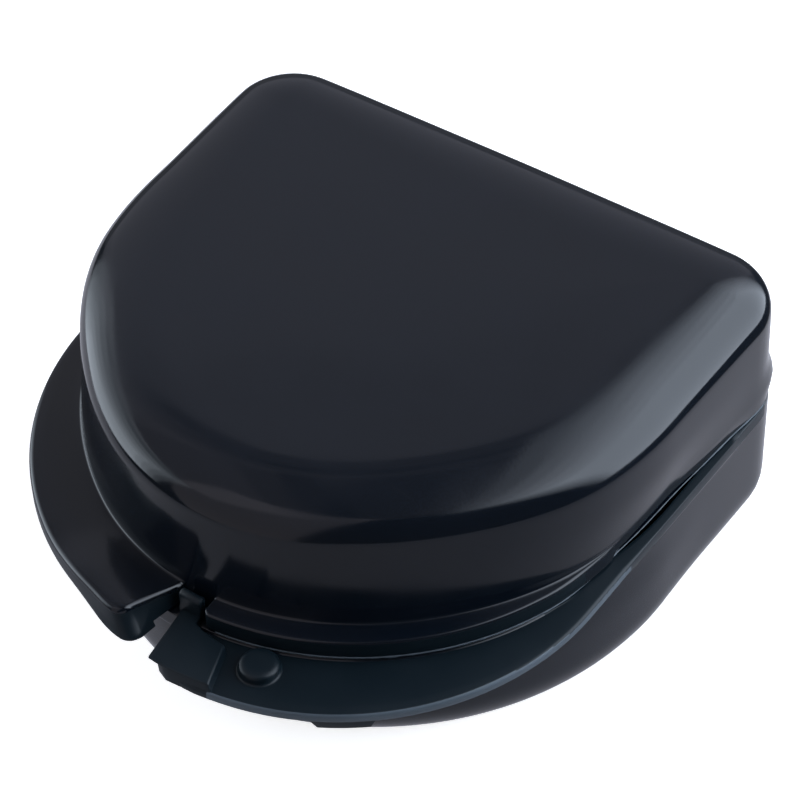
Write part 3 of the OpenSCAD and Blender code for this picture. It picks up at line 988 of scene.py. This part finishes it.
def white_card():
    """The matt white card under the case. The camera sees it as white, with the case's shadow on it. Glossy
    things mirror it as a lit sheet, brightest close beside the case and on its far side. Past the sheet's edge
    only the camera sees it. All distances are in metres."""
    material, tree = new_material("matt_white_card")
    rays = add(tree, "ShaderNodeLightPath")
    place = add(tree, "ShaderNodeTexCoord").outputs["Object"]

    # As the camera sees it
    seen = add(tree, "ShaderNodeMath", {"operation": "MULTIPLY"}, n0=rays.outputs["Is Camera Ray"], n1=0.78)
    glow = add(tree, "ShaderNodeEmission", Color=linear("#ffffff"), Strength=seen)
    matt = add(tree, "ShaderNodeBsdfDiffuse", Color=linear("#f2f2f2"))
    lit = add(tree, "ShaderNodeAddShader", n0=glow, n1=matt)

    # As it is mirrored
    along = add(tree, "ShaderNodeVectorMath", {"operation": "DOT_PRODUCT"}, n0=place, n1=(-0.35, 0.8, 0.0))
    around = add(tree, "ShaderNodeMapRange", Value=along.outputs["Value"], From_Min=-0.045, From_Max=0.045,
                 To_Min=0.37, To_Max=0.8)
    off = add(tree, "ShaderNodeVectorMath", {"operation": "DISTANCE"}, n0=place, n1=(0.0, -0.005, 0.0))
    beside = add(tree, "ShaderNodeMapRange", Value=off.outputs["Value"], From_Min=0.046, From_Max=0.062,
                 To_Min=0.42, To_Max=0.0)
    level = add(tree, "ShaderNodeMath", {"operation": "MAXIMUM"}, n0=around, n1=beside)
    sheet = add(tree, "ShaderNodeEmission", Color=linear("#e8ebfa"), Strength=level)
    mirrored = add(tree, "ShaderNodeMath", {"operation": "MAXIMUM"}, n0=rays.outputs["Is Glossy Ray"],
                   n1=rays.outputs["Is Transmission Ray"])
    either = add(tree, "ShaderNodeMixShader", n0=mirrored, n1=lit, n2=sheet)

    # Where the sheet ends, all round and ahead of the case
    spread = add(tree, "ShaderNodeVectorMath", {"operation": "DISTANCE"}, n0=place, n1=(-0.06, -0.05, 0.0))
    too_wide = add(tree, "ShaderNodeMath", {"operation": "GREATER_THAN"}, n0=spread.outputs["Value"],
                   n1=0.165)
    forward = add(tree, "ShaderNodeVectorMath", {"operation": "DOT_PRODUCT"}, n0=place,
                  n1=(-0.35, -0.94, 0.0))
    ahead = add(tree, "ShaderNodeMath", {"operation": "GREATER_THAN"}, n0=forward.outputs["Value"], n1=0.1)
    outside = add(tree, "ShaderNodeMath", {"operation": "MAXIMUM"}, n0=too_wide, n1=ahead)
    other = add(tree, "ShaderNodeMath", {"operation": "SUBTRACT"}, n0=1.0, n1=rays.outputs["Is Camera Ray"])
    open_air = add(tree, "ShaderNodeMath", {"operation": "MULTIPLY"}, n0=outside, n1=other)
    clear = add(tree, "ShaderNodeBsdfTransparent")
    whole = add(tree, "ShaderNodeMixShader", n0=open_air, n1=either, n2=clear)
    add(tree, "ShaderNodeOutputMaterial", Surface=whole)
    return material


def make_floor():
    half = 2.5
    mesh = bpy.data.meshes.new("floor")
    corners = [(-half, -half, 0), (half, -half, 0), (half, half, 0), (-half, half, 0)]
    mesh.from_pydata(corners, [], [(0, 1, 2, 3)])
    mesh.materials.append(white_card())
    placed("floor", mesh)


make_floor()

# The lamps stand this many metres from the case's middle and aim at it
LAMP_DISTANCE = 0.8
CASE_MIDDLE = Vector((0, 0, 25 * MM))


def softbox(name, azimuth, elevation, width, height, radiance, colour):
    """A soft lamp by its direction from the case and its apparent size, all in degrees. Azimuth 0 is behind
    the case and 90 on its right."""
    a, e = math.radians(azimuth), math.radians(elevation)
    aim = Vector((math.sin(a) * math.cos(e), math.cos(a) * math.cos(e), math.sin(e)))
    lamp = bpy.data.lights.new(name, "AREA")
    lamp.shape = "RECTANGLE"
    lamp.size = 2 * LAMP_DISTANCE * math.tan(math.radians(width / 2))
    lamp.size_y = 2 * LAMP_DISTANCE * math.tan(math.radians(height / 2))
    lamp.energy = radiance * math.pi * lamp.size * lamp.size_y
    lamp.color = linear(colour)[:3]
    obj = placed(name, lamp)
    obj.location = CASE_MIDDLE + aim * LAMP_DISTANCE
    obj.rotation_euler = (-aim).to_track_quat("-Z", "Y").to_euler()
    obj.visible_camera = False


def feathered_softbox(name, azimuth, low, width, height, radiance, colour, layers, feather):
    """A softbox whose lower side is crisp and whose other sides fade, made of lamps of growing size. low is
    the elevation of its lower side, and feather the width of the fading edge."""
    for k in range(layers):
        grown = feather * k / (layers - 1)
        tall = height - feather + grown
        softbox(f"{name}_{k}", azimuth, low + tall / 2, width - feather + grown, tall, radiance / layers,
                colour)


# Azimuth, elevation (of the lower side when feathered), width, height, radiance and colour
feathered_softbox("right_softbox", 48, -10, 86, 88, 4.1, "#e3efff", layers=6, feather=24)
feathered_softbox("left_softbox", -106, -12, 66, 54, 3.5, "#e6f2ff", layers=5, feather=28)
softbox("front_card", -170, 24, 54, 96, 0.36, "#fbf4ff")
feathered_softbox("front_left_ceiling", -118, 40, 60, 44, 0.28, "#f7f2ff", layers=3, feather=12)
feathered_softbox("overhead_sheet", -34, 6, 84, 58, 0.33, "#eeeeff", layers=4, feather=18)
feathered_softbox("overhead_right", 52, 58, 60, 36, 0.28, "#eeeeff", layers=3, feather=22)
softbox("back_sheet", -36, 22, 70, 60, 0.12, "#f0f2ff")

# White to the camera, and a dim room to all else
world = bpy.data.worlds.new("studio")
bpy.context.scene.world = world
world.use_nodes = True
sky = world.node_tree
sky.nodes.clear()
rays = add(sky, "ShaderNodeLightPath")
room = add(sky, "ShaderNodeMapRange", Value=rays.outputs["Is Camera Ray"], To_Min=0.05, To_Max=1.0)
air = add(sky, "ShaderNodeBackground", Color=linear("#ffffff"), Strength=room)
add(sky, "ShaderNodeOutputWorld", Surface=air)


def make_camera():
    """The photograph's view: from the front right, 46 degrees up, with a long lens. Its focal length was found
    in pixels of the photograph, which is 800 wide."""
    azimuth, elevation, roll = math.radians(36.35), math.radians(45.68), math.radians(-2.28)
    distance = 0.36477
    target = Vector((-0.64, 7.04, 16.88)) * MM
    back = Vector((math.sin(azimuth) * math.cos(elevation), -math.cos(azimuth) * math.cos(elevation),
                   math.sin(elevation)))
    right = (-back).cross(Vector((0, 0, 1))).normalized()
    up = right.cross(-back)
    c, s = math.cos(roll), math.sin(roll)
    right, up = c * right + s * up, c * up - s * right
    data = bpy.data.cameras.new("camera")
    data.sensor_width = 36.0
    data.lens = 3015.5 * data.sensor_width / 800
    data.clip_start, data.clip_end = 0.01, 20.0
    camera = placed("camera", data)
    turn = Matrix((right, up, back)).transposed().to_4x4()
    camera.matrix_world = Matrix.Translation(target + back * distance) @ turn
    bpy.context.scene.camera = camera


make_camera()
bpy.context.scene.view_settings.view_transform = "Standard"
